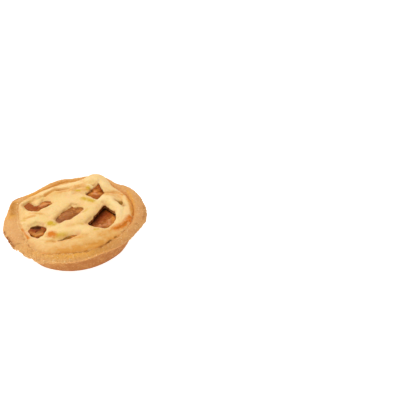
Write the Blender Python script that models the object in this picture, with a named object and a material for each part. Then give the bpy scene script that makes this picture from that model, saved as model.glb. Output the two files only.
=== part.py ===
"""Mini apple pie: a shortcrust shell, an apple filling and a roller-cut lattice lid.

Metres, +Z up. The pie stands on z = 0 with its middle on the Z axis.
Azimuths run anticlockwise from +X, and the side nearest the viewer is at 270 degrees.
"""

import math

import bmesh
import bpy
from mathutils import Vector, noise

MM = 0.001
GAP = 0.3 * MM  # air between pieces that touch
SHARP_EDGE = 50  # degrees between faces from which an edge is left sharp

# Shell: a drafted wall that flares into a broad, crumbly rim
BASE_RADIUS = 28.3 * MM
BASE_EDGE = 0.7 * MM  # the foot's rounded corner
WALL_TOP_RADIUS = 34.0 * MM
WALL_TOP_HEIGHT = 12.0 * MM
RIM_RADIUS = 39.4 * MM
RIM_HEIGHT = 18.9 * MM
RIM_FALL = 1.7 * MM  # from the rim's crown down to its outermost edge
LIP_THICKNESS = 1.2 * MM  # from the outermost edge down to the underside of the overhang
FLOOR_THICKNESS = 3.6 * MM
CAVITY_RADIUS = 29.4 * MM  # at the ledge that carries the lid
CAVITY_FLOOR_RADIUS = 24.6 * MM
CAVITY_CORNER_RADIUS = 27.2 * MM
CAVITY_CORNER_HEIGHT = 6.4 * MM
CRAG_DEPTH = 0.45 * MM  # crumbly breaks along the rim
CRAG_LENGTH = 3.2 * MM
CRAG_TURN = 1.0  # radians round the pie from the breaks in radius to those in height
LEAST_RIM = 1.6 * MM  # between the lid and the outermost edge
LEAST_STEP = 1.0 * MM  # from the rim's crown down to the ledge
LEDGE_GAP = 1.5 * GAP  # air over the ledge where the lid sags below its seat
SHELL_SEGMENTS = 112
# Points of the section as shares of the way out and up between the places named above
WALL_BELLY = (0.5, 0.46)  # from the foot to the wall's top
FLARE = (0.48, 0.74)  # from the wall's top to the lip
LIP_UNDERSIDE = 0.87  # from the wall's top out to the edge
LIP_NOSE = 0.45  # from the lip up to the edge
CROWN = 0.42  # from the lid out to the edge
CROWN_BROW = (0.62, 0.72)  # out from the crown, and up from the edge
INNER_BROW = 0.4  # from the lid out to the crown
INNER_WALL = 0.6  # from the ledge up to the crown
NOSE_SET_BACK = 0.1 * MM
BROW_FALL = 0.45 * MM  # from the crown down to its inner brow

# Soft swells round the pie: azimuth and spread in degrees, amount in metres
RIM_REACH_SWELLS = (
    (20, 22, 0.4 * MM),
    (47, 7, -0.7 * MM),
    (57, 7, 0.8 * MM),
    (103, 12, 0.4 * MM),
    (124, 16, -0.9 * MM),
    (143, 9, 2.2 * MM),
    (165, 9, -0.4 * MM),
    (198, 6, -0.4 * MM),
    (222, 16, 0.4 * MM),
    (237, 6, 0.9 * MM),
    (286, 10, -2.3 * MM),
    (326, 7, -0.6 * MM),
    (340, 18, 1.1 * MM),
)
RIM_LIFT_SWELLS = (
    (44, 10, -1.0 * MM),
    (64, 12, 0.2 * MM),
    (86, 9, -0.7 * MM),
    (124, 18, -1.4 * MM),
    (148, 10, 0.6 * MM),
    (190, 26, -0.3 * MM),
    (262, 30, -0.5 * MM),
)
RIM_FALL_SWELLS = ((232, 18, 0.5 * MM),)  # the rim droops at the front left
LIP_SWELLS = ((232, 18, 0.9 * MM),)
CROWN_SWELLS = ((268, 42, -0.12),)
WALL_SWELLS = ((220, 14, 0.4 * MM), (326, 16, 0.9 * MM))

# Lattice lid: one rolled sheet, cut and stretched open, pressed on to the shell's ledge
LID_RADIUS = 33.3 * MM
LID_EDGE_SWELLS = (
    (64, 13, 5.3 * MM),
    (53, 8, 1.4 * MM),
    (93, 13, 2.2 * MM),
    (120, 18, 1.0 * MM),
    (149, 11, 1.6 * MM),
    (175, 18, -2.6 * MM),
    (203, 16, -3.2 * MM),
    (241, 12, 1.7 * MM),
    (279, 20, 1.3 * MM),
)
SEAT_HEIGHT = 14.6 * MM
SEAT_SWELLS = (
    (64, 15, 4.2 * MM),
    (95, 12, 0.6 * MM),
    (122, 22, 1.3 * MM),
    (150, 12, 0.7 * MM),
    (188, 26, 1.2 * MM),
)
LID_MIDDLE_HEIGHT = 17.9 * MM  # middle of the sheet's thickness, away from its border
LID_HALF_THICKNESS = 1.9 * MM
LID_EDGE_HALF_THICKNESS = 1.3 * MM
LID_SHOULDER = 0.62  # share of the lid's radius where it starts to slope down to its edge
LID_RIPPLE = 0.35 * MM
LID_RIPPLE_LENGTH = 11 * MM
LID_SEGMENTS = 72
LID_RINGS = 11
LID_FIRST_RING = 0.4  # its radius as a share of the rings' spacing
LID_ROLL = 0.9 * MM  # width of the rounded edge
# Rounded edge, bottom to top: how far it stands back, and height in half thicknesses of the sheet
LID_ROUNDING = ((0.25 * MM, -0.6), (0.0 * MM, 0.0), (0.3 * MM, 0.65))

# Windows that the stretched cuts leave, as corner points in millimetres
WINDOWS = {
    "middle": (
        (-11.5, -2.2), (-9.0, -6.8), (-6.2, -4.9), (-2.4, -4.2),
        (2.4, -0.9), (6.0, 3.0), (4.2, 7.0), (-1.2, 8.4), (-7.2, 4.0),
    ),
    "right": (
        (6.8, -11.4), (9.6, -15.2), (14.2, -17.6), (18.0, -16.2), (21.5, -11.6),
        (22.7, -4.0), (19.8, 1.4), (17.2, 5.4), (13.2, 0.2), (9.2, -6.8),
    ),
    "back_left": (
        (-28.2, 17.0), (-26.4, 12.4), (-23.0, 8.8), (-19.6, 7.8), (-11.0, 13.4),
        (-12.6, 17.0), (-16.2, 18.8), (-18.8, 15.6), (-21.2, 15.4), (-24.4, 18.8),
    ),
    "back_right": (
        (7.4, 17.8), (11.0, 14.2), (14.2, 9.6), (16.6, 13.4), (19.4, 17.6),
        (17.6, 21.6), (17.0, 27.0), (13.4, 24.0), (10.6, 20.6),
    ),
    "front_left": (
        (-26.6, -6.4), (-24.0, -12.0), (-20.6, -16.6), (-18.2, -14.4),
        (-15.0, -9.0), (-17.6, -6.6), (-21.0, -4.6), (-24.3, -5.2),
    ),
    "front_slit": ((-12.2, -22.4), (-6.6, -22.6), (0.6, -18.4), (-3.2, -18.0), (-8.2, -20.4)),
    "right_nick": ((24.6, 7.4), (25.6, 3.9), (27.1, 1.8), (28.2, 6.9)),
}
CORNER_CUT = 0.2  # share of each side that rounding takes from a window's corner
# Window wall, bottom to top: height in half thicknesses of the sheet, and how far the wall stands back
WINDOW_WALL = (
    (-1.45, 1.6 * MM),
    (-1.0, 0.8 * MM),
    (-0.4, 0.15 * MM),
    (0.2, 0.0 * MM),
    (0.7, 0.55 * MM),
    (1.05, 1.5 * MM),
    (1.5, 2.8 * MM),
)

# Filling: set apple sauce, with diced apple standing up in the windows
FILLING_GAP = 1.3 * GAP  # a little more than GAP, because both are faceted
FILLING_TOP_RADIUS = 28.4 * MM
FILLING_SEGMENTS = 64
# Top of the sauce: share of the filling's radius, height
SAUCE_TOP = ((0.2, 15.2 * MM), (0.45, 15.2 * MM), (0.7, 15.0 * MM), (0.9, 14.5 * MM), (1.0, 13.6 * MM))
DICE_BEVEL = 0.16  # share of a dice's side
# Dice of apple: x, y and height of its middle in mm, its side in mm, and its three turns in degrees
APPLE_DICE = (
    (-4.6, 0.2, 13.1, 6.8, (8, 5, 38)),
    (1.2, 3.2, 13.1, 6.0, (-7, 6, 50)),
    (11.8, -11.0, 12.4, 6.8, (10, -14, 20)),
    (17.4, -10.6, 12.6, 7.4, (-14, 9, 64)),
    (17.4, -2.6, 12.2, 6.8, (12, 12, 38)),
    (-20.8, 12.0, 12.5, 5.8, (5, 6, 59)),
    (-14.8, 14.0, 12.6, 5.8, (-10, -9, 50)),
    (14.4, 17.0, 12.7, 7.0, (8, -8, 50)),
    (-20.6, -9.8, 12.6, 6.0, (-7, 7, 26)),
)

# Finishes: colour and roughness
CRUST_FINISH = ((0.71, 0.40, 0.17, 1.0), 0.85)
LID_FINISH = ((0.91, 0.66, 0.29, 1.0), 0.45)
APPLE_FINISH = ((0.47, 0.17, 0.05, 1.0), 0.35)


def swell(angle, swells):
    """Sum of soft bumps at this azimuth."""
    total = 0.0
    for azimuth, spread, amount in swells:
        off = (math.degrees(angle) - azimuth + 180) % 360 - 180
        total += amount * math.exp(-((off / spread) ** 2))
    return total


def ease(share):
    """Smooth step from 0 to 1."""
    share = min(1.0, max(0.0, share))
    return share * share * (3 - 2 * share)


def mix(low, high, share):
    return low + (high - low) * share


def material(name, look):
    colour, roughness = look
    made = bpy.data.materials.new(name)
    made.use_nodes = True
    shader = made.node_tree.nodes["Principled BSDF"]
    shader.inputs["Base Color"].default_value = colour
    shader.inputs["Roughness"].default_value = roughness
    shader.inputs["Metallic"].default_value = 0.0
    return made


def turned(name, segments, profile_at, finish):
    """A closed solid from a profile that changes with azimuth.

    profile_at(angle) gives (radius, height) pairs. The first and last ring are closed by flat discs.
    """
    mesh = bpy.data.meshes.new(name)
    work = bmesh.new()
    columns = []
    for step in range(segments):
        angle = 2 * math.pi * step / segments
        columns.append([
            work.verts.new((radius * math.cos(angle), radius * math.sin(angle), height))
            for radius, height in profile_at(angle)
        ])
    for step, column in enumerate(columns):
        after = columns[(step + 1) % segments]
        for row in range(len(column) - 1):
            work.faces.new((column[row], after[row], after[row + 1], column[row + 1]))
    work.faces.new([column[0] for column in reversed(columns)])
    work.faces.new([column[-1] for column in columns])
    bmesh.ops.recalc_face_normals(work, faces=work.faces)
    work.to_mesh(mesh)
    work.free()
    made = bpy.data.objects.new(name, mesh)
    bpy.context.scene.collection.objects.link(made)
    mesh.materials.append(finish)
    mesh.shade_smooth()
    mesh.set_sharp_from_angle(angle=math.radians(SHARP_EDGE))
    return made


def lid_edge(angle):
    """Radius of the lattice lid's outer edge."""
    return LID_RADIUS + swell(angle, LID_EDGE_SWELLS)


def seat(angle):
    """Height of the ledge that the lid is pressed on to."""
    return SEAT_HEIGHT + swell(angle, SEAT_SWELLS)


def lid_slope(x, y):
    """How far a place on the lid has gone down its sloping border, from 0 to 1."""
    angle = math.atan2(y, x)
    edge = lid_edge(angle)
    return ease((math.hypot(x, y) / edge - LID_SHOULDER) / (1 - LID_SHOULDER))


def lid_half(x, y):
    """Half the lid's thickness at a place."""
    return mix(LID_HALF_THICKNESS, LID_EDGE_HALF_THICKNESS, lid_slope(x, y))


def lid_middle(x, y):
    """Height of the middle of the lid's thickness at a place."""
    border = seat(math.atan2(y, x)) + GAP + LID_EDGE_HALF_THICKNESS
    return mix(LID_MIDDLE_HEIGHT, border, lid_slope(x, y))


def ledge_under_lid(angle, radius, ledge):
    """Height of the shell's ledge where the lid may dip below its seat."""
    x, y = radius * math.cos(angle), radius * math.sin(angle)
    return min(ledge, lid_middle(x, y) - lid_half(x, y) - LEDGE_GAP)


def crag(angle, height):
    """Broken, crumbly depth of the rim at a place on it."""
    place = Vector((math.cos(angle), math.sin(angle), 0)) * RIM_RADIUS + Vector((0, 0, height))
    return CRAG_DEPTH * noise.noise(place / CRAG_LENGTH)


def between(low, high, shares):
    """A place part of the way from one (radius, height) to another."""
    return tuple(mix(start, end, share) for start, end, share in zip(low, high, shares))


def shell_profile(angle):
    inner = lid_edge(angle) + GAP
    reach = max(RIM_RADIUS + swell(angle, RIM_REACH_SWELLS), inner + LEAST_RIM)
    top = RIM_HEIGHT + swell(angle, RIM_LIFT_SWELLS)
    ledge = min(seat(angle), top - LEAST_STEP)
    edge = top - RIM_FALL - swell(angle, RIM_FALL_SWELLS)
    lip = edge - LIP_THICKNESS - swell(angle, LIP_SWELLS)
    crown = mix(inner, reach, CROWN + swell(angle, CROWN_SWELLS))
    ledge_middle = mix(CAVITY_RADIUS, inner, 0.5)
    bulge = swell(angle, WALL_SWELLS)
    foot, wall_top = (BASE_RADIUS + bulge, BASE_EDGE), (WALL_TOP_RADIUS + bulge, WALL_TOP_HEIGHT)
    outer = [
        (BASE_RADIUS + bulge - BASE_EDGE, 0.0),
        foot,
        between(foot, wall_top, WALL_BELLY),
        wall_top,
        between(wall_top, (reach, lip), FLARE),
    ]
    rim = [
        (mix(WALL_TOP_RADIUS + bulge, reach, LIP_UNDERSIDE), lip),
        (reach - NOSE_SET_BACK, mix(lip, edge, LIP_NOSE)),
        (reach, edge),
        between((crown, edge), (reach, top), CROWN_BROW),
        (crown, top),
    ]
    inside = [
        (mix(inner, crown, INNER_BROW), top - BROW_FALL),
        (inner, mix(ledge, top, INNER_WALL)),
        (inner, ledge),
        (ledge_middle, ledge_under_lid(angle, ledge_middle, ledge)),
        (CAVITY_RADIUS, ledge_under_lid(angle, CAVITY_RADIUS, ledge)),
        (CAVITY_CORNER_RADIUS, CAVITY_CORNER_HEIGHT),
        (CAVITY_FLOOR_RADIUS, FLOOR_THICKNESS),
    ]
    rough = [
        (radius + crag(angle, height), height + crag(angle + CRAG_TURN, height))
        for radius, height in rim
    ]
    return outer + rough + inside


def ripple(x, y):
    """Unevenness of the lid's upper face."""
    return LID_RIPPLE * noise.noise(Vector((x, y, 0)) / LID_RIPPLE_LENGTH)


def lid_profile(angle):
    edge = lid_edge(angle)
    under = []
    upper = []
    for ring in range(LID_RINGS):
        radius = (ring + LID_FIRST_RING) / LID_RINGS * (edge - LID_ROLL)
        x, y = radius * math.cos(angle), radius * math.sin(angle)
        middle, half = lid_middle(x, y), lid_half(x, y)
        under.append((radius, middle - half))
        upper.append((radius, middle + half + ripple(x, y)))
    x, y = edge * math.cos(angle), edge * math.sin(angle)
    middle, half = lid_middle(x, y), lid_half(x, y)
    rounded = [(edge - back, middle + level * half) for back, level in LID_ROUNDING]
    return under + rounded + upper[::-1]


def rounded_outline(corners):
    """Corner points in metres with each corner cut back, as soft dough leaves it."""
    points = [Vector(corner) * MM for corner in corners]
    outline = []
    for index, here in enumerate(points):
        before, after = points[index - 1], points[(index + 1) % len(points)]
        outline.append(here.lerp(before, CORNER_CUT))
        outline.append(here.lerp(after, CORNER_CUT))
    return outline


def outward(outline, index):
    """Unit vector pointing out of an anticlockwise outline at one of its points."""
    along = outline[(index + 1) % len(outline)] - outline[index - 1]
    return Vector((along.y, -along.x)).normalized()


def window_cutter(name, corners):
    """A plug the shape of a window, waisted so that it leaves strands with rounded sides."""
    outline = rounded_outline(corners)
    mesh = bpy.data.meshes.new(name)
    work = bmesh.new()
    loops = []
    for level, back in WINDOW_WALL:
        loop = []
        for index, point in enumerate(outline):
            x, y = point + outward(outline, index) * back
            height = lid_middle(point.x, point.y) + level * lid_half(point.x, point.y)
            loop.append(work.verts.new((x, y, height)))
        loops.append(loop)
    for lower, upper in zip(loops, loops[1:]):
        for index in range(len(outline)):
            after = (index + 1) % len(outline)
            work.faces.new((lower[index], lower[after], upper[after], upper[index]))
    work.faces.new(loops[0][::-1])
    work.faces.new(loops[-1])
    bmesh.ops.triangulate(work, faces=work.faces)
    bmesh.ops.recalc_face_normals(work, faces=work.faces)
    work.to_mesh(mesh)
    work.free()
    return mesh


def helper(name, mesh, collection):
    """A shape that only cuts or joins others."""
    made = bpy.data.objects.new(name, mesh)
    made.display_type = "WIRE"
    made.hide_render = True
    collection.objects.link(made)
    return made


def helper_collection(name):
    made = bpy.data.collections.new(name)
    bpy.context.scene.collection.children.link(made)
    made.hide_render = True
    return made


def combine(target, operation, collection):
    """Join or cut the target with all of a collection, and remove the collection and its objects."""
    modifier = target.modifiers.new(operation.title(), "BOOLEAN")
    modifier.operation = operation
    modifier.operand_type = "COLLECTION"
    modifier.collection = collection
    modifier.solver = "EXACT"
    evaluated = target.evaluated_get(bpy.context.evaluated_depsgraph_get())
    mesh = bpy.data.meshes.new_from_object(evaluated)
    target.modifiers.clear()
    target.data = mesh
    for made in list(collection.objects):
        bpy.data.objects.remove(made)
    bpy.data.collections.remove(collection)


def filling_profile(angle):
    sides = [
        (CAVITY_FLOOR_RADIUS - FILLING_GAP, FLOOR_THICKNESS + GAP),
        (CAVITY_CORNER_RADIUS - FILLING_GAP, CAVITY_CORNER_HEIGHT),
    ]
    top = [(share * FILLING_TOP_RADIUS, height) for share, height in reversed(SAUCE_TOP)]
    return sides + top


def apple_dice(name, place, side, turns):
    """A dice of apple with softened edges."""
    mesh = bpy.data.meshes.new(name)
    work = bmesh.new()
    bmesh.ops.create_cube(work, size=side)
    bmesh.ops.bevel(
        work, geom=work.edges[:], offset=DICE_BEVEL * side, segments=1, affect="EDGES", profile=0.5
    )
    work.to_mesh(mesh)
    work.free()
    made = helper(name, mesh, bpy.data.collections["apple_dice"])
    made.location = place
    made.rotation_euler = [math.radians(turn) for turn in turns]


def make_shell():
    finish = material("baked_shortcrust", CRUST_FINISH)
    turned("crust_shell", SHELL_SEGMENTS, shell_profile, finish)


def make_filling():
    finish = material("apple_filling", APPLE_FINISH)
    filling = turned("apple_filling", FILLING_SEGMENTS, filling_profile, finish)
    pieces = helper_collection("apple_dice")
    for index, (x, y, height, side, turns) in enumerate(APPLE_DICE):
        place = Vector((x, y, height)) * MM
        apple_dice(f"apple_dice_{index}", place, side * MM, turns)
    combine(filling, "UNION", pieces)


def make_lid():
    finish = material("egg_washed_pastry", LID_FINISH)
    lid = turned("lattice_lid", LID_SEGMENTS, lid_profile, finish)
    cutters = helper_collection("window_cutters")
    for name, corners in WINDOWS.items():
        helper(f"window_{name}", window_cutter(f"window_{name}", corners), cutters)
    combine(lid, "DIFFERENCE", cutters)


def main():
    for old in list(bpy.data.objects):
        bpy.data.objects.remove(old)
    make_shell()
    make_filling()
    make_lid()


main()
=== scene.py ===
# Mini apple pie: shortcrust shell, apple filling and a roller-cut lattice lid, baked with egg wash
import math
import random

import bmesh
import bpy
import numpy as np
from mathutils import Matrix, Vector, noise


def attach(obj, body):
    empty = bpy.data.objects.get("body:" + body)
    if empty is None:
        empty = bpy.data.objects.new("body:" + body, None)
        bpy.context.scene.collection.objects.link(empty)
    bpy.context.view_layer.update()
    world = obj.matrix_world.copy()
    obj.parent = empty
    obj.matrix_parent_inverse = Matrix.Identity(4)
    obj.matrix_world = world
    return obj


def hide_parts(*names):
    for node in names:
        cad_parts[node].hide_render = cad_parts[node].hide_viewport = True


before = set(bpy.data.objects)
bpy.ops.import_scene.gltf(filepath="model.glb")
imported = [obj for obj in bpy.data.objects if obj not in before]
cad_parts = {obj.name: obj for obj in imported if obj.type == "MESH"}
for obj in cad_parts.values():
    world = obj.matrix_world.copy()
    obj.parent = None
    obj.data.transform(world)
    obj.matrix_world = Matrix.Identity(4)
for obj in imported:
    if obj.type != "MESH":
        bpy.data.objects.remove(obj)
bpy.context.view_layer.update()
mm = 0.001

# The pie's own form in mm: the solids' own, with a few finer swells of the rim. Azimuths run anticlockwise
# from +X, and 270 is the side nearest the camera. A swell is azimuth and spread in degrees, then amount
pieForm = {
    "baseRadius": 28.3,
    "baseEdge": 0.7,
    "wallTopRadius": 34.0,
    "wallTopHeight": 12.0,
    "rimRadius": 39.4,
    "rimHeight": 18.9,
    "rimFall": 1.7,
    "rimFoot": 13,  # above this the wall turns into the rim
    "leastRim": 1.2,
    "leastStep": 1,  # from the lid's seat up to the top of the rim
    "lipThickness": 1.2,
    "floorThickness": 3.6,
    "cavityRadius": 29.4,
    "cavityCornerRadius": 27.2,
    "cavityCornerHeight": 6.4,
    "cavityFloorRadius": 24.6,
    "lidRadius": 33.3,
    "seatHeight": 14.6,
    "lidMiddle": 17.9,
    "lidHalf": 1.9,
    "lidEdgeHalf": 1.3,
    "lidShoulder": 0.62,
    "rimReach": (
        (20, 22, 0.4), (47, 7, -0.7), (57, 7, 0.8), (103, 12, 0.45), (124, 16, -0.9), (143, 9, 2.2),
        (165, 9, -0.4), (198, 6, -0.45), (222, 16, 0.4), (216, 4, -1.1), (229, 4, -1.2), (237, 6, 0.9),
        (286, 10, -2.3), (326, 7, -0.6), (340, 18, 1.6),
    ),
    "rimLift": (
        (44, 10, -1), (64, 12, 0.2), (86, 9, -0.7), (124, 18, -1.4), (148, 10, 0.6),
        (190, 26, -0.3), (262, 30, -0.5),
    ),
    "lidEdge": (
        (64, 13, 5.3), (53, 8, 1.4), (93, 13, 2.2), (120, 18, 1), (149, 11, 1.6),
        (175, 18, -2.6), (203, 16, -3.2), (241, 12, 1.7), (279, 20, 1.3),
    ),
    "wallReach": ((220, 14, 0.4), (326, 16, 0.9)),
    "droop": ((232, 18, 1.0),),  # where the rim hangs over thick and low
    "seatLift": ((64, 15, 4.2), (95, 12, 0.6), (122, 22, 1.3), (150, 12, 0.7), (188, 26, 1.2)),
    # Where lid and rim bake into one; elsewhere a groove shows between them
    "fused": ((190, 24, 1.0), (150, 10, 0.35), (226, 12, 0.75)),
}


def bell(value, width):  # 1 at 0, falling off to both sides
    return np.exp(-((value / width) ** 2))


def swell(azimuth, swells):
    total = 0.0 * azimuth
    for centre, spread, amount in swells:
        off = (azimuth - centre + 180) % 360 - 180
        total = total + amount * bell(off, spread)
    return total


def mix(low, high, share):
    return low + (high - low) * share


def ease(share):
    share = np.clip(share, 0.0, 1.0)
    return share * share * (3 - 2 * share)


def rise(value, start, over):  # 0 up to start, then up to 1 over so much
    return ease((value - start) / over)


def facing(azimuth, side, power=2):  # 1 at one side of the pie, falling off both ways as far as azimuth 0
    middle, spread = side
    return np.exp(-(((azimuth - middle) / spread) ** power))


def azimuthOf(x, y):
    return np.degrees(np.arctan2(y, x)) % 360


def lidEdgeRadius(azimuth):
    return pieForm["lidRadius"] + swell(azimuth, pieForm["lidEdge"])


def seatHeightAt(azimuth):
    return pieForm["seatHeight"] + swell(azimuth, pieForm["seatLift"])


def lidSlope(x, y):  # 0 on the flat of the lid, 1 at its edge
    share = np.hypot(x, y) / lidEdgeRadius(azimuthOf(x, y))
    shoulder = pieForm["lidShoulder"]
    return ease((share - shoulder) / (1 - shoulder))


def lidMiddleAt(x, y):
    border = seatHeightAt(azimuthOf(x, y)) + pieForm["lidEdgeHalf"]
    return mix(pieForm["lidMiddle"], border, lidSlope(x, y))


def lidHalfAt(x, y):
    return mix(pieForm["lidHalf"], pieForm["lidEdgeHalf"], lidSlope(x, y))


def grain(points, size, seed=0.0):  # smooth noise from about -1 to 1 at each place, all in mm
    shift = np.array((seed, 0.7 * seed, 1.3 * seed))
    return np.array([noise.noise(Vector(place)) for place in points / size + shift])


def pebbles(points, size, seed=0.0):  # rounded lumps side by side, from about -0.5 to 0.5
    shift = np.array((seed, 0.7 * seed, 1.3 * seed))
    return np.array([0.5 - noise.voronoi(Vector(place))[0][0] for place in points / size + shift])


def relief(points, table, kind=grain):  # sizes and depths in mm, seeds
    return sum(depth * kind(points, size, seed) for size, depth, seed in table)


def strokeDistance(x, y, stroke):  # distance in plan from a line drawn through points
    best = np.full(len(x), 1e9)
    for (ax, ay), (bx, by) in zip(stroke, stroke[1:]):
        dx, dy = bx - ax, by - ay
        share = np.clip(((x - ax) * dx + (y - ay) * dy) / (dx * dx + dy * dy + 1e-9), 0.0, 1.0)
        best = np.minimum(best, np.hypot(x - ax - share * dx, y - ay - share * dy))
    return best


def strokes(x, y, marks):  # marks are points, half width in mm, strength; the strongest one counts
    total = np.zeros(len(x))
    for *stroke, width, strength in marks:
        total = np.maximum(total, strength * bell(strokeDistance(x, y, stroke), width))
    return total


def closedOutline(corners):
    return corners + corners[:1]


def depthInside(x, y, corners):  # distance from a closed outline, above zero inside it
    inside = np.zeros(len(x), bool)
    outline = closedOutline(corners)
    for (ax, ay), (bx, by) in zip(outline, outline[1:]):
        crossed = ((ay > y) != (by > y)) & (x < (bx - ax) * (y - ay) / (by - ay + 1e-9) + ax)
        inside ^= crossed
    return np.where(inside, 1.0, -1.0) * strokeDistance(x, y, outline)


def acrossWindow(x, y, corners):  # about -1 at a window's far left, 1 at its near right
    corners = np.array(corners)
    middle, half = (corners.max(0) + corners.min(0)) / 2, np.ptp(corners, axis=0) / 2
    return ((x - middle[0]) / half[0] - (y - middle[1]) / half[1]) / 1.4


# Small hands-on helpers
def pickNothing():
    if bpy.context.mode != "OBJECT":
        bpy.ops.object.mode_set(mode="OBJECT")
    bpy.ops.object.select_all(action="DESELECT")


def pick(*pieces):
    pickNothing()
    for piece in pieces:
        piece.select_set(True)
    bpy.context.view_layer.objects.active = pieces[0]


def editAll():  # edit mode, with the whole mesh selected
    bpy.ops.object.mode_set(mode="EDIT")
    bpy.ops.mesh.select_all(action="SELECT")


def editDone():
    bpy.ops.object.mode_set(mode="OBJECT")


def newest(name):
    piece = bpy.context.object
    piece.name = name
    piece.data.name = name
    return piece


def addModifier(piece, kind, **settings):
    modifier = piece.modifiers.new(kind.title(), kind)
    for key, value in settings.items():
        setattr(modifier, key, value)
    pick(piece)
    bpy.ops.object.modifier_apply(modifier=modifier.name)


def settle(piece):  # place, turn and scale go into the mesh
    pick(piece)
    bpy.ops.object.transform_apply(location=True, rotation=True, scale=True)


def fixNormals(piece):
    pick(piece)
    editAll()
    bpy.ops.mesh.remove_doubles(threshold=0.01 * mm)
    bpy.ops.mesh.normals_make_consistent(inside=False)
    editDone()


def orderFaces(piece):  # extruding lists faces in any order; a fixed one lets every run repeat exactly
    mesh = piece.data
    points = [vertex.co.copy() for vertex in mesh.vertices]
    faces = []
    for face in mesh.polygons:
        corners = list(face.vertices)
        first = corners.index(min(corners))
        faces.append(corners[first:] + corners[:first])
    mesh.clear_geometry()
    mesh.from_pydata(points, [], sorted(faces))


def joinPieces(pieces, name):
    pick(*pieces)
    bpy.ops.object.join()
    return newest(name)


def readPoints(piece):  # an array of places in mm
    flat = np.empty(len(piece.data.vertices) * 3)
    piece.data.vertices.foreach_get("co", flat)
    return flat.reshape(-1, 3) / mm


def readNormals(piece):
    flat = np.empty(len(piece.data.vertices) * 3)
    piece.data.vertices.foreach_get("normal", flat)
    return flat.reshape(-1, 3)


def writePoints(piece, points):
    piece.data.vertices.foreach_set("co", (points * mm).ravel())
    piece.data.update()


def paint(piece, name, values):  # one number for each point, read by the materials as an attribute
    layer = piece.data.attributes.new(name, "FLOAT", "POINT")
    layer.data.foreach_set("value", np.clip(values, 0.0, 1.0))


def drawUpRings(rings):  # from a filled foot circle, one extrusion and one resize for each ring
    editAll()
    for (radius, height), (nextRadius, nextHeight) in zip(rings, rings[1:]):
        bpy.ops.mesh.extrude_region_move(TRANSFORM_OT_translate={"value": (0, 0, (nextHeight - height) * mm)})
        share = nextRadius / radius
        bpy.ops.transform.resize(value=(share, share, 1), center_override=(0, 0, nextHeight * mm))
    editDone()


def dress(piece, material, slotName, *nodes):
    piece.data.materials.clear()
    piece.data.materials.append(material)
    for face in piece.data.polygons:
        face.use_smooth = True
    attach(piece, "root")
    if nodes:
        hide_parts(*nodes)


# Materials. Each look lists its shader values, its patterns as kind, size in mm, detail and
# roughness, its colours laid over each other from the ground up, and its bumps with depths in mm
patternStep = 3.1  # each pattern starts so far from the last one, and no two fall together
raggedSpan = (0.3, 0.7)  # of the wander pattern, where it breaks up painted edges
glossSpan = (0.35, 0.65)  # of the same, where it goes from the smoothest to the roughest
patternKinds = {
    "cloud": ("ShaderNodeTexNoise", "noise_dimensions", "Fac"),
    "grains": ("ShaderNodeTexVoronoi", "voronoi_dimensions", "Distance"),
}


def hexLinear(colour):
    channels = [int(colour[start:start + 2], 16) / 255 for start in (1, 3, 5)]
    return tuple(c / 12.92 if c <= 0.04045 else ((c + 0.055) / 1.055) ** 2.4 for c in channels) + (1.0,)


def addNode(tree, kind, inputs, **settings):  # an input takes a plain value or another node's socket
    node = tree.nodes.new(kind)
    for key, value in settings.items():
        setattr(node, key, value)
    for key, source in inputs.items():
        if isinstance(source, bpy.types.NodeSocket):
            tree.links.new(source, node.inputs[key])
        else:
            node.inputs[key].default_value = source
    return node


def drawPatterns(tree, patterns):
    place = addNode(tree, "ShaderNodeTexCoord", {}).outputs["Object"]
    drawn = {}
    for seed, (name, (kind, size, detail, roughness)) in enumerate(patterns.items()):
        inputs = {"Vector": place, "W": patternStep * seed, "Scale": 1 / (size * mm)}
        inputs.update({"Detail": detail, "Roughness": roughness})
        texture, dimensions, socket = patternKinds[kind]
        drawn[name] = addNode(tree, texture, inputs, **{dimensions: "4D"}).outputs[socket]
    return drawn


def spanned(value, old, new):  # inputs that carry one span over to another
    return {"Value": value, "From Min": old[0], "From Max": old[1], "To Min": new[0], "To Max": new[1]}


def layColours(tree, look, drawn):
    colour = hexLinear(look["ground"])
    ragged = addNode(tree, "ShaderNodeMapRange", spanned(drawn["wander"], raggedSpan, look["ragged"]))
    for source, low, high, most, tint in look["layers"]:
        if source in drawn:
            amount = drawn[source]
        else:  # painted on the mesh, its edges broken up by the wander pattern
            painted = addNode(tree, "ShaderNodeAttribute", {}, attribute_name=source)
            broken = {0: painted.outputs["Fac"], 1: ragged.outputs["Result"]}
            amount = addNode(tree, "ShaderNodeMath", broken, operation="MULTIPLY").outputs[0]
        share = addNode(tree, "ShaderNodeMapRange", spanned(amount, (low, high), (0, most)))
        mixed = {"Factor": share.outputs["Result"], 6: colour, 7: hexLinear(tint)}
        colour = addNode(tree, "ShaderNodeMix", mixed, data_type="RGBA").outputs[2]
    return colour


def bakedMaterial(name, look):
    material = bpy.data.materials.new(name)
    material.use_nodes = True
    tree = material.node_tree
    shader = tree.nodes["Principled BSDF"]
    for key, value in look["shader"].items():
        shader.inputs[key].default_value = value
    drawn = drawPatterns(tree, look["patterns"])
    tree.links.new(layColours(tree, look, drawn), shader.inputs["Base Color"])
    gloss = addNode(tree, "ShaderNodeMapRange", spanned(drawn["wander"], glossSpan, look["roughness"]))
    tree.links.new(gloss.outputs["Result"], shader.inputs["Roughness"])
    normal = None
    for pattern, depth in look["bumps"]:
        inputs = {"Height": drawn[pattern], "Distance": depth * mm}
        if normal is not None:
            inputs["Normal"] = normal
        normal = addNode(tree, "ShaderNodeBump", inputs).outputs["Normal"]
    tree.links.new(normal, shader.inputs["Normal"])
    return material


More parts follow.
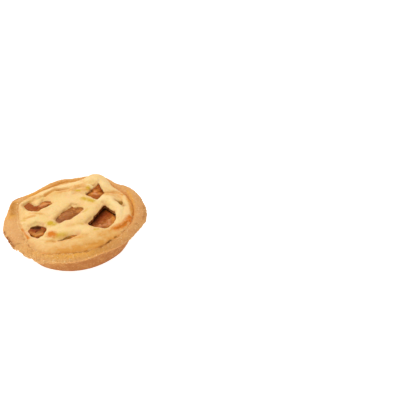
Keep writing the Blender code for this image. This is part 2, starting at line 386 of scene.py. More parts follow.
# Shortcrust: rubbed-in butter dough, baked dry. Matt and sandy, toasted where it is thin or low, with painted
# shade added low down, on the shaded side, in the pits of the rim and in the front crack
shortcrustLook = {
    "shader": {
        "Specular IOR Level": 0.12,
        "Specular Tint": (1.0, 0.8, 0.55, 1.0),
        "Subsurface Weight": 0.08,
        "Subsurface Radius": (1.0, 0.5, 0.2),
        "Subsurface Scale": 0.8 * mm,
    },
    "roughness": (0.72, 0.88),
    "patterns": {
        "patches": ("cloud", 7, 2, 0.5),
        "wander": ("cloud", 2.6, 4, 0.6),
        "sand": ("cloud", 0.9, 5, 0.65),
        "fineSand": ("cloud", 0.35, 2, 0.5),
        "crumb": ("grains", 0.8, 1, 0.5),
    },
    "ground": "#E3AA68",
    "ragged": (0.6, 1.3),
    "layers": (
        ("patches", 0.38, 0.62, 1, "#DB9E62"),
        ("golden", 0, 1, 1, "#E8A74C"),
        ("toastAndShade", 0, 1, 1, "#B9783F"),
        ("scorchAndShade", 0, 1, 1, "#97501E"),
        ("washed", 0, 1, 1, "#F2C988"),
        ("sand", 0.44, 0.24, 0.5, "#9A5420"),
        ("sand", 0.57, 0.72, 0.8, "#F8D49A"),
        ("flour", 0, 1, 1, "#FBCE92"),
    ),
    "bumps": (("sand", 0.3), ("crumb", 0.12), ("fineSand", 0.07)),
}

# Lid pastry: the same dough rolled thin, egg-washed and baked pale. Satin, golden where the wash pooled, and
# golden as painted shade in the hollows and down the front border
lidPastryLook = {
    "shader": {
        "Specular IOR Level": 0.24,
        "Specular Tint": (1.0, 0.84, 0.58, 1.0),
        "Subsurface Weight": 0.15,
        "Subsurface Radius": (1.0, 0.55, 0.2),
        "Subsurface Scale": 1.2 * mm,
    },
    "roughness": (0.46, 0.62),
    "patterns": {
        "patches": ("cloud", 9, 2, 0.5),
        "wander": ("cloud", 2.4, 4, 0.6),
        "blush": ("cloud", 5, 2, 0.5),
        "tinge": ("cloud", 6, 2, 0.5),
        "freckles": ("cloud", 0.8, 3, 0.6),
        "blisters": ("cloud", 1.6, 4, 0.55),
        "pores": ("cloud", 0.4, 3, 0.6),
    },
    "ground": "#F0C67C",
    "ragged": (0.5, 1.5),
    "layers": (
        ("patches", 0.36, 0.64, 1, "#F5D08E"),
        ("blush", 0.5, 0.68, 0.5, "#F7C793"),
        ("tinge", 0.5, 0.68, 0.45, "#E6D088"),
        # pale: painted highlight on the crowns of the strands
        ("pale", 0, 1, 1, "#FBDCA0"),
        ("golden", 0, 1, 1, "#DF9B44"),
        ("olive", 0.15, 0.85, 1, "#D2A722"),
        ("bare", 0, 1, 1, "#DFA664"),
        # lip: painted highlight on the near side of a window
        ("lip", 0, 1, 1, "#F8BE8C"),
        ("orange", 0.15, 0.85, 1, "#D8760E"),
        # soaked and juice: juice stain with painted shade on the cut walls
        ("soakedAndShaded", 0, 1, 1, "#B4773A"),
        ("brown", 0.1, 0.9, 1, "#8E5614"),
        ("juiceAndShade", 0, 1, 1, "#6E300C"),
        ("freckles", 0.58, 0.72, 0.55, "#DC9C44"),
        ("pores", 0.4, 0.26, 0.25, "#D8944A"),
    ),
    "bumps": (("blisters", 0.35), ("pores", 0.09)),
}

# Filling: apple cooked soft in its own juice with sugar and cinnamon. Moist, amber to reddish brown
cookedAppleLook = {
    "shader": {
        "Specular IOR Level": 0.18,
        "Specular Tint": (1.0, 0.58, 0.28, 1.0),
        "Subsurface Weight": 0.18,
        "Subsurface Radius": (1.0, 0.3, 0.08),
        "Subsurface Scale": 1.5 * mm,
    },
    "roughness": (0.34, 0.5),
    "patterns": {
        "patches": ("cloud", 4.5, 3, 0.6),
        "wander": ("cloud", 2.2, 3, 0.6),
        "chunks": ("cloud", 2.6, 2, 0.5),
        "mottle": ("cloud", 1.8, 2, 0.5),
        "streaks": ("cloud", 1.3, 5, 0.6),
    },
    "ground": "#AA5A12",
    "ragged": (0.75, 1.2),
    "layers": (
        ("patches", 0.36, 0.64, 1, "#B0641A"),
        ("matt", 0, 1, 1, "#A2622A"),
        ("chunks", 0.53, 0.62, 0.7, "#C87E3C"),
        ("mottle", 0.54, 0.63, 0.7, "#7E360A"),
        ("streaks", 0.48, 0.76, 0.6, "#94420F"),
        ("deep", 0, 1, 1, "#A24E0C"),
        ("olive", 0, 1, 1, "#8E6414"),
        ("lit", 0, 1, 1, "#E2923C"),
        ("pink", 0, 1, 1, "#E29A68"),
        ("reddish", 0, 1, 1, "#963C12"),
        # painted shadow in the windows
        ("shadeInWindows", 0, 1, 1, "#4A1606"),
    ),
    "bumps": (("streaks", 0.25),),
}


# Crust shell
crustLook = {
    "segments": 128,
    "levels": 2,
    "fineFrom": (12.8, -0.4),  # mm above the foot and out from the seam from which the mesh is cut once more
    "crags": ((3.4, 0.5, 0), (1.5, 0.3, 4), (0.75, 0.14, 9)),  # size and depth in mm, seed
    "lumps": ((2.2, 0.55, 3), (1.1, 0.3, 8)),
    "wallCrags": ((5, 0.22, 2), (1.4, 0.1, 5), (0.6, 0.05, 11)),
    "roughest": ((250, 46, 0.6), (345, 30, 0.3), (222, 20, 0.45)),  # swells of roughness
    "plainRoughness": 0.4,
    "toasted": ((335, 42, 0.25), (292, 14, 0.3), (42, 16, 0.1)),  # swells of a darker bake
    "floured": ((205, 30, 0.12),),  # swells of a paler bake
    "frontSwell": ((268, 42, 1),),
    "smoothSeam": ((36, 20, 1),),
    # Sides of the pie: azimuth and spread in degrees
    "goldenSide": (264, 38),
    "crackSide": (268, 34),
    "shadedSide": (305, 50),
    "groove": 1.1,  # mm of gold out from the seam
    "crack": (0.7, 0.55),  # mm out from the seam, half width
    "grooveGold": 0.6,
    "toastAndShade": (0.38, 0.9, 0.35),  # toast on the wall, and painted shade on the shaded side and low down
    "darkening": (0.7, 0.3, 0.3, 0.8),  # scorch and painted contact shade at the foot, painted shade on the shaded wall, in the pits of the rim and in the crack
    "washed": 0.8,
    # Painted by the oven, and as painted shade in the front crack: points in plan, half width in mm, strength
    "scorchAndShade": (
        ((-38.6, -4.6), (-38, -7.4), 0.7, 0.7),
        ((-37.2, -10.4), (-35.6, -15), (-34, -19), 1, 1),
        ((-33.2, 19), (-34, 14), (-33.6, 9.4), 1.9, 0.6),
        ((-33, -18.4), (-30.6, -18.6), 0.7, 0.6),
        ((-38, 15), (-36, 20), (-31, 26), 1, 0.5),
        # the front crack: browned, with painted shade in it
        ((10.4, -34), (14, -32), (17, -29.6), 0.6, 0.35),
        ((39, -3), (38.6, -9), (36.6, -15), 0.7, 0.4),
        ((37.1, -12.8), (37, -13.6), 0.8, 0.45),
        ((32, -18.8), (32.6, -19.4), 0.8, 0.45),
        ((-33.5, 21.5), (-31.7, 23.4), (-29.9, 24.5), 0.9, 0.5),
    ),
    "golden": (
        ((-24, 26), (-15.5, 30), (-8, 32.9), 2.2, 1),
        ((-33.5, 19), (-34.4, 13), (-34.2, 8), 3, 1),
        ((-29.6, -6), (-27.6, -12.5), (-24, -20), 1.3, 0.55),
        ((32.4, 14), (33.4, 9), (33.9, 4), (33.2, -5), 0.9, 0.9),
        ((-19.5, 27.3), (-15.6, 28.9), (-11.7, 31), 1.6, 1),
    ),
}


def rimRoughness(azimuth):
    return crustLook["plainRoughness"] + swell(azimuth, crustLook["roughest"])


def crustProfile(azimuth):  # radius and height in mm, from the foot up over the rim and down into the hollow
    form = pieForm
    fused = swell(azimuth, form["fused"])
    front = swell(azimuth, crustLook["frontSwell"])
    top = form["rimHeight"] + swell(azimuth, form["rimLift"])
    ledge = seatHeightAt(azimuth)
    inner = lidEdgeRadius(azimuth) - 0.05
    reach = max(form["rimRadius"] + swell(azimuth, form["rimReach"]), inner + form["leastRim"])
    droop = swell(azimuth, form["droop"])
    edge = top - form["rimFall"] - 0.5 * droop
    lip = edge - form["lipThickness"] - 0.9 * droop
    crown = mix(inner, reach, mix(0.42, 0.3, front))
    bulge = swell(azimuth, form["wallReach"])
    base, wall = form["baseRadius"] + bulge, form["wallTopRadius"] + bulge
    low, high = form["baseEdge"], form["wallTopHeight"]
    cavity = form["cavityRadius"]
    slopeFoot = min(ledge, lidMiddleAt(cavity, 0) - form["lidHalf"]) - 0.6
    joint = ledge + 1.9 * form["lidEdgeHalf"]  # where lid and rim are one
    ledge = min(ledge, top - form["leastStep"])
    top = mix(top, joint + 0.35, fused)
    return [
        (base - 1.6, 0.0),
        (base - 0.35, 0.12),
        (base + 0.1, low + 0.1),
        (mix(base, wall, 0.32), mix(low, high, 0.29)),
        (mix(base, wall, 0.68), mix(low, high, 0.64)),
        (wall, high),
        (mix(wall, reach, 0.42), mix(high, lip, mix(0.66, 0.4, front))),
        (mix(wall, reach, mix(0.86, 0.78, front)), lip + 0.05 - 0.7 * front),
        (reach + 0.12, mix(lip, edge, 0.45)),
        (reach - 0.05, edge + 0.1),
        (mix(crown, reach, 0.6), mix(edge, top, 0.65)),
        (crown, top),
        (mix(inner, crown, 0.5), mix(top - 0.15, joint + 0.3, fused)),
        (inner + 0.25, mix(mix(ledge, top, 0.7), joint + 0.15, fused)),
        (inner, mix(mix(ledge, top, 0.35), joint - 0.2, fused)),
        (inner - 0.3, ledge),
        (cavity, min(ledge, slopeFoot)),
        (form["cavityCornerRadius"], form["cavityCornerHeight"]),
        (form["cavityFloorRadius"], form["floorThickness"]),
    ]


def makeCrust():
    look = crustLook
    plain = crustProfile(90.0)
    pickNothing()
    bpy.ops.mesh.primitive_circle_add(vertices=look["segments"], radius=plain[0][0] * mm, fill_type="NGON")
    crust = newest("crustShell")
    drawUpRings(plain)
    fixNormals(crust)
    orderFaces(crust)
    points = readPoints(crust)
    rings = np.array(plain)
    for index, (x, y, z) in enumerate(points):  # each ring goes to its own uneven place
        azimuth = azimuthOf(x, y)
        ring = int(np.argmin((rings[:, 0] - math.hypot(x, y)) ** 2 + (rings[:, 1] - z) ** 2))
        radius, height = crustProfile(azimuth)[ring]
        angle = math.radians(azimuth)
        points[index] = (radius * math.cos(angle), radius * math.sin(angle), height)
    writePoints(crust, points)
    addModifier(crust, "SUBSURF", levels=look["levels"], render_levels=look["levels"])
    pick(crust)
    editAll()
    bpy.ops.mesh.select_mode(type="FACE")
    bpy.ops.mesh.select_all(action="DESELECT")
    editDone()
    fineHeight, fineOut = look["fineFrom"]
    for face in crust.data.polygons:
        x, y, z = face.center / mm
        face.select = z > fineHeight and math.hypot(x, y) > lidEdgeRadius(azimuthOf(x, y)) + fineOut
    bpy.ops.object.mode_set(mode="EDIT")
    bpy.ops.mesh.subdivide(number_cuts=1)
    editDone()

    points, normals = readPoints(crust), readNormals(crust)
    x, y, z = points.T
    radius, azimuth = np.hypot(x, y), azimuthOf(x, y)
    seam = lidEdgeRadius(azimuth)
    rim = rise(z, pieForm["rimFoot"], 2.5) * rise(radius - seam, -0.6, 1.6)
    rough = rimRoughness(azimuth)
    shift = rim * rough * (relief(points, look["crags"]) + rough * relief(points, look["lumps"], pebbles))
    shift += (1 - rim) * ease(z / 1.5) * relief(points, look["wallCrags"])
    shift[(radius < pieForm["baseRadius"] - 2) & (z < 14)] = 0.0  # the underside and the hollow stay plain
    points += normals * shift[:, None]
    writePoints(crust, points)

    front = facing(azimuth, look["goldenSide"])
    shade = facing(azimuth, look["shadedSide"])
    away = np.maximum(0.0, radius - seam)
    bare = swell(azimuth, pieForm["fused"] + look["smoothSeam"])
    groove = bell(away, look["groove"]) * (1 - np.clip(bare, 0, 1))
    crackAway, crackHalf = look["crack"]
    crack = bell(away - crackAway, crackHalf) * facing(azimuth, look["crackSide"], 4)
    baked = rise(z, pieForm["rimFoot"], 3)
    golden = front * baked * ease((39.8 - radius) / 3)
    golden = np.maximum(golden, look["grooveGold"] * groove)
    paint(crust, "golden", np.maximum(golden, strokes(x, y, look["golden"]) * rise(z, 14, 2)))
    under = ease((pieForm["wallTopHeight"] + 3.9 - z) / 4)
    wallToast, shadedSideShade, lowShade = look["toastAndShade"]
    # toast on the wall, with painted shade on the shaded side and a painted contact shade low down
    toastAndShade = under * (wallToast + shadedSideShade * shade) + lowShade * (1 - rise(z, 3, 11))
    paint(crust, "toastAndShade", toastAndShade + swell(azimuth, look["toasted"]) * baked)
    marked = rise(z, pieForm["rimFoot"], 2)
    marks = strokes(x, y, look["scorchAndShade"]) * marked
    pits = rise(-shift, 0.12, 0.45)
    foot = ease((2 - z) / 2) * ease(0.7 + 1.5 * grain(points, 2.4, 15.0))
    foot *= rise(radius - pieForm["baseRadius"], -2.5, 1.5)  # the underside itself is even
    broken = ease(0.6 + 1.4 * grain(points, 3.0, 6.0))
    footScorchAndShade, wallShade, pitShade, crackShade = look["darkening"]
    # scorch at the foot and in marks, and painted shade on the shaded wall, in the rim's pits and in the
    # front crack
    scorchAndShade = footScorchAndShade * foot + wallShade * under * shade + pitShade * rim * pits + marks
    paint(crust, "scorchAndShade", scorchAndShade + crackShade * crack * broken * marked)
    paint(crust, "flour", swell(azimuth, look["floured"]) * marked * (1 - marks))
    spill = away + 1.2 * grain(points, 2.0, 17.0)  # egg wash over the seam
    washed = swell(azimuth, pieForm["fused"]) * ease((1.4 - spill) / 1.4) * rise(z, 15, 1.5)
    paint(crust, "washed", look["washed"] * washed)
    return crust


# Crumbs: broken bits of shortcrust baked on to the rim
crumbLook = {
    "small": {"count": 600, "low": 0.22, "high": 0.5},
    "large": {"count": 170, "low": 0.5, "high": 0.9},
    "seed": 11,
    "paleShare": 0.28,
    "clumped": (0.35, 0.85),  # smallest and largest radius in a clump, in mm
    "wide": (0.7, 1),  # as shares of the radius
    "tall": (0.5, 0.9),
    "sunk": 0.25,
    "pale": (0.7, 1),
    "plain": (0, 0.25),
    "lowest": 13.5,  # mm above the foot
    "offLid": 0.5,  # mm out from the seam
    "steepShare": 0.7,  # how many crumbs stay on steep faces
    "goldenSide": (262, 48),
    "golden": 0.5,
    # Clumps: azimuth, radius and height in mm, spread in mm, number of crumbs
    "clumps": (
        (226.5, 40.4, 15.6, 1.1, 16),
        (206, 40.3, 16.4, 0.8, 9),
        (243, 39.6, 15.6, 1.2, 14),
        (252, 38.8, 16.6, 1.3, 16),
        (263, 38.4, 16.8, 1.4, 16),
        (286, 37.6, 16.4, 1.2, 14),
        (312, 38.4, 16.2, 1, 8),
        (350, 37.6, 18, 1.2, 6),
        (5, 37.4, 18.2, 1, 5),
    ),
}


def crumbShape():
    pickNothing()
    bpy.ops.mesh.primitive_cube_add(size=1.6)
    crumb = newest("crumb")
    addModifier(crumb, "SUBSURF", levels=1, render_levels=1)
    editAll()
    bpy.ops.transform.vertex_random(offset=0.28, seed=3)
    editDone()
    shape = crumb.data.copy()
    bpy.data.objects.remove(crumb)
    return shape


def crumbPlaces(crust):  # faces of the rim, with how likely a crumb is to lie there
    places, weights = [], []
    for face in crust.data.polygons:
        x, y, z = face.center / mm
        azimuth = azimuthOf(x, y)
        if z > crumbLook["lowest"] and math.hypot(x, y) > lidEdgeRadius(azimuth) + crumbLook["offLid"]:
            places.append((face.center.copy(), face.normal.copy()))
            share = 1.0 if face.normal.z > 0.2 else crumbLook["steepShare"]
            weights.append(rimRoughness(azimuth) ** 2 * share)
    return places, weights


def clumpPlaces(places, dice):  # the rim's nearest face to each crumb of a clump
    centres = np.array([centre for centre, normal in places]) / mm
    chosen = []
    for azimuth, radius, height, spread, count in crumbLook["clumps"]:
        angle = math.radians(azimuth)
        for _ in range(count):
            spot = (
                radius * math.cos(angle) + dice.gauss(0, spread),
                radius * math.sin(angle) + dice.gauss(0, spread),
                height + dice.gauss(0, spread),
            )
            chosen.append(places[int(np.argmin(((centres - spot) ** 2).sum(axis=1)))])
    return chosen


def makeCrumbs(crust, shortcrust):
    look = crumbLook
    dice = random.Random(look["seed"])
    shape = crumbShape()
    places, weights = crumbPlaces(crust)
    spots = []
    for kind in ("small", "large"):
        spec = look[kind]
        for spot in dice.choices(places, weights, k=spec["count"]):
            spots.append((spot, mix(spec["low"], spec["high"], dice.random() ** 2)))
    for spot in clumpPlaces(places, dice):
        spots.append((spot, mix(*look["clumped"], dice.random())))
    whole = bmesh.new()
    flour = []
    for (centre, normal), radius in spots:
        size = radius * mm
        turn = Matrix.Rotation(dice.uniform(0, 6.28), 4, Vector((dice.gauss(0, 1), dice.gauss(0, 1), 1)))
        wide, tall = dice.uniform(*look["wide"]), dice.uniform(*look["tall"])
        stretch = Matrix.Diagonal((size, size * wide, size * tall, 1))
        copy = shape.copy()
        copy.transform(Matrix.Translation(centre - normal * size * look["sunk"]) @ turn @ stretch)
        whole.from_mesh(copy)
        bpy.data.meshes.remove(copy)
        tone = look["pale"] if dice.random() < look["paleShare"] else look["plain"]
        flour += [dice.uniform(*tone)] * len(shape.vertices)
    mesh = bpy.data.meshes.new("rimCrumbs")
    whole.to_mesh(mesh)
    whole.free()
    crumbs = bpy.data.objects.new("rimCrumbs", mesh)
    bpy.context.scene.collection.objects.link(crumbs)
    x, y, z = readPoints(crumbs).T
    paint(crumbs, "golden", look["golden"] * facing(azimuthOf(x, y), look["goldenSide"]))
    paint(crumbs, "toastAndShade", 0.4 * ease((15.5 - z) / 2))
    paint(crumbs, "scorchAndShade", np.zeros(len(x)))
    paint(crumbs, "washed", np.zeros(len(x)))
    paint(crumbs, "flour", np.array(flour))
    dress(crumbs, shortcrust, "shortcrust")
    return crumbs


# Windows of the lattice: roll is how wide the dough thins down to the cut in mm, kept the share
# of its thickness left there, sauce how far the filling wells up past the lid's underside
# in mm, bank how far under the dough it starts to, and the fifth number how dark the cut is, by juice
# stain and painted shade. Corners are in plan
windowLook = {
    "middle": {
        "roll": 2.8, "kept": 0.8, "sauce": 2.15, "bank": 1.4, "soakAndShade": 0,
        "corners": (
            (-10.8, -3.4), (-8.8, -7.8), (-6.2, -5.2), (-2.4, -5), (2.4, -1.2),
            (6, 2.2), (4.2, 6), (0.8, 5.6), (-0.5, 8.2), (-2.2, 6), (-7, 2.8),
        ),
    },
    "right": {
        "roll": 3, "kept": 0.78, "sauce": -0.7, "bank": 0.6, "soakAndShade": 0.95,
        "corners": (
            (6, -11.2), (9.2, -15.2), (14, -18.6), (18.4, -17.2), (21.6, -12),
            (22.7, -4.6), (19.6, 0.2), (17.4, 4), (13, -1), (9.4, -7),
        ),
    },
    "backLeft": {
        "roll": 3, "kept": 0.76, "sauce": 1.95, "bank": 1.4, "soakAndShade": 0,
        "corners": (
            (-26.9, 16.2), (-25.4, 11.8), (-22.4, 8.2), (-19.4, 7.2), (-11, 12.8),
            (-12.6, 16.4), (-16.2, 18), (-18.6, 13.8), (-21.2, 13.4), (-24.4, 18),
        ),
    },
    "backRight": {
        "roll": 3, "kept": 0.74, "sauce": 1.1, "bank": 1.4, "soakAndShade": 0.3,
        "corners": (
            (7.4, 17.8), (11, 13.8), (14, 8.6), (16.6, 13.4),
            (19.4, 17.6), (17.8, 21.2), (17.2, 26), (13.6, 22.6), (10.6, 20.2),
        ),
    },
    "frontLeft": {
        "roll": 3, "kept": 0.76, "sauce": 0.9, "bank": 1.4, "soakAndShade": 0.7,
        "corners": (
            (-26.6, -7.6), (-24.2, -12.8), (-20.8, -17.2), (-18.4, -15.2),
            (-15, -10.4), (-17.6, -7), (-20.8, -4.6), (-23.8, -5.2),
        ),
    },
    "frontSlit": {
        "roll": 2.6, "kept": 0.68, "sauce": 1.7, "bank": 1.4, "soakAndShade": 0,
        "corners": ((-12.2, -22.4), (-6.6, -22.8), (1.2, -19.4), (-2.6, -19), (-8.2, -21)),
    },
    "rightNick": {
        "roll": 2.4, "kept": 0.7, "sauce": 1.6, "bank": 1.2, "soakAndShade": 0,
        "corners": ((24.6, 7.4), (25.6, 3.9), (27.1, 1.8), (28.2, 6.9)),
    },
}


# Filling
fillingLook = {
    "voxel": 0.4,
    "gap": 0.35,
    "rounding": 0.14,  # of a dice's side
    "standOut": 0.35,  # how much of its own height a dice keeps above the sauce
    "relief": ((2.2, 0.3, 3), (0.9, 0.16, 8)),  # size and depth in mm, seed
    "top": ((27.9, 13.4), (25.5, 14.2), (19, 14.4), (8, 14.6)),
    # Diced apple: x, y, height of its middle, side, all in mm, three turns in degrees
    "dice": (
        (12, -13.2, 13.4, 5.4, (10, -14, 20)),
        (16.4, -13.4, 13.3, 6, (-16, 12, 64)),
        (20.2, -9.4, 14.2, 5.2, (14, -12, 28)),
        (19.2, -3.2, 12.6, 5.2, (18, 10, 50)),
        (14.6, -7.8, 11.6, 6.4, (24, 12, 50)),
        (-16, 13.2, 14.2, 5.6, (-8, -9, 50)),
        (-25.2, 16.2, 13.4, 5.6, (2, -3, 32)),
        (-23, 11.6, 13.2, 5.4, (3, 4, 59)),
        (13.6, 15.4, 13.9, 5.6, (8, -8, 48)),
        (15, 22.6, 14.2, 5.8, (6, 6, 20)),
        (-20.4, -12.8, 15.1, 5.2, (-12, 10, 36)),
        (-16.8, -8.8, 15.3, 4.4, (8, 14, 10)),
        (-24.4, -8.6, 15, 4.4, (9, 7, 50)),
        (-5, -20.8, 13.6, 5, (6, 4, 12)),
        (26.4, 5, 14.2, 4.4, (4, 3, 20)),
    ),
    # Tones: points in plan, half width in mm, strength
    "matt": (
        ((-9, -4.4), (-3, 0.6), (1.6, 4.4), 5.4, 1),
    ),
    "deep": (
        ((-24, -10), (-20, -8), (-17, -9), 3, 0.7),
        ((16, 20), (15, 15.4), 2, 0.8),
        ((-26.7, 17.7), (-22.5, 15), (-21.2, 12.4), 3.2, 0.9),
    ),
    "olive": (
        ((-21.8, -12.2), (-18.4, -11), 1.8, 0.85),
        ((-10.4, -21.2), (-5, -20), 1.8, 1),
        ((25, 5.4), (27.6, 5), 3, 1),
        ((17.3, 6), (17.9, 3.6), 1, 0.8),
    ),
    # painted shadow under the far strands and along the cut edges in the windows
    "shadeInWindows": (
        ((9.4, -5.4), (12.8, -0.8), (15.8, 2.4), 3, 0.85),
        ((20.2, 0.6), (22.2, -1.6), 0.9, 0.6),
        ((-22.4, -5.2), (-19.8, -5.8), 2.1, 1),
        ((8.6, 19.6), (13, 24.4), 1, 0.45),
        ((15.4, 28), (16.6, 27), 1.6, 0.5),
        ((-10.2, -0.4), (-8.6, -5), 1.7, 0.42),
        ((-7.6, -4.4), (-3.4, -3.2), (2.4, 0.4), 0.8, 0.25),
        ((-6.6, 3), (-5.2, 4), 0.8, 0.35),
    ),
    "reddish": (
        ((11.6, -5.6), (15.6, -1.6), (19.8, -0.6), 2.8, 0.9),
        ((12.2, -7.6), (17, -3.2), 2.2, 0.75),
        ((10.8, -8.8), (14.6, -6.6), 2.4, 0.6),
        ((-25, -6.4), (-22.6, -9), (-20.4, -7.4), 1.5, 0.8),
        ((-18.4, -6.6), (-16.4, -9.4), (-17.8, -11.4), 1.5, 0.55),
        ((9, 20), (14, 24.6), (16.6, 25), (17.8, 21.4), 1.5, 0.45),
        ((10.6, 18.6), (14.2, 13), 1.2, 0.3),
        ((-26.4, 14.6), (-21.2, 10.8), (-19, 13.4), (-17.4, 16.4), 0.9, 0.55),
        ((-17, 16.6), (-13.2, 16), 0.8, 0.7),
        ((-7, -4), (-4, -3.4), 1.4, 0.3),
    ),
    "lit": (
        ((20.8, -3), (19.9, -8), 1.1, 0.6),
        ((13.8, -6.8), (16.9, -3.4), 1.3, 0.3),
        ((11.8, 19.4), (15.2, 18.6), 2, 1),
        ((3.6, 2.6), (5.6, 3.4), 1.3, 0.35),
        ((-17.6, 13.6), (-12.6, 15.4), 1.8, 0.75),
        ((21, -2), (21, -7), (20.4, -11.4), (18.6, -14.2), 1.2, 0.75),
        ((-24.4, -9), (-22.8, -10.8), 1, 0.5),
        ((-22, -13.6), (-18.6, -12.6), 1.3, 0.7),
        ((-2.6, -19.6), (0.6, -18.6), 1.2, 0.8),
        ((25.4, 6.8), (27.4, 6.4), 1, 0.4),
    ),
    "pink": (
        ((13.4, 18.8), (14.4, 17.4), 1.3, 1),
        ((12.8, -12.4), (16.3, -10.8), 1.2, 0.6),
        ((18.2, -7.4), (18, -12), 1.2, 0.6),
        ((10.2, -8.4), (13.4, -7.6), 0.9, 0.3),
        ((-18.2, 12.4), (-15.4, 13.4), (-12.6, 14.6), 1.1, 0.5),
        ((-22.4, -5.6), (-19.8, -6.7), 0.9, 0.5),
        ((-22.4, -11.4), (-20.2, -12.4), 1.2, 0.35),
        ((-5.2, 1), (-4, 1.8), 1.6, 0.25),
        ((-9.6, -4.4), (-8, -3.4), 1.4, 0.3),
    ),
}


def makeFilling(apple):
    look = fillingLook
    form = pieForm
    rings = [
        (form["cavityFloorRadius"] - look["gap"], form["floorThickness"] + look["gap"]),
        (form["cavityCornerRadius"] - look["gap"], form["cavityCornerHeight"]),
    ] + list(look["top"])
    pickNothing()
    bpy.ops.mesh.primitive_circle_add(
        vertices=64, radius=rings[0][0] * mm, fill_type="NGON", location=(0, 0, rings[0][1] * mm)
    )
    sauce = newest("sauce")
    drawUpRings(rings)
    settle(sauce)
    fixNormals(sauce)
    parts = [sauce]
    for x, y, height, side, turns in look["dice"]:
        pickNothing()
        bpy.ops.mesh.primitive_cube_add(
            size=side * mm, location=(x * mm, y * mm, height * mm),
            rotation=[math.radians(turn) for turn in turns],
        )
        piece = newest("appleDice")
        editAll()
        bpy.ops.mesh.bevel(offset=look["rounding"] * side * mm, segments=2, affect="EDGES")
        editDone()
        settle(piece)
        parts.append(piece)
    filling = joinPieces(parts, "appleFilling")
    addModifier(filling, "REMESH", mode="VOXEL", voxel_size=look["voxel"] * mm)
    addModifier(filling, "SMOOTH", factor=0.5, iterations=4)
    points, normals = readPoints(filling), readNormals(filling)
    x, y, z = points.T
    upper = rise(z, 11.5, 2.5)
    underLid = lidMiddleAt(x, y) - lidHalfAt(x, y)
    plainTop = look["top"][-1][1]
    for window in windowLook.values():  # sauce wells up in the windows
        inside, bank = depthInside(x, y, window["corners"]), window["bank"]
        level = mix(plainTop, underLid + window["sauce"], rise(inside, -bank, bank))
        level += look["standOut"] * (z - plainTop)
        z = mix(z, np.where(inside > -bank, np.maximum(z, level), z), upper)
    points[:, 2] = z
    shift = relief(points, look["relief"])
    points += normals * (shift * upper)[:, None]
    writePoints(filling, points)
    for layer in ("matt", "deep", "olive", "shadeInWindows", "reddish", "lit", "pink"):
        paint(filling, layer, strokes(x, y, look[layer]))
    dress(filling, apple, "filling", "apple_filling")
    return filling


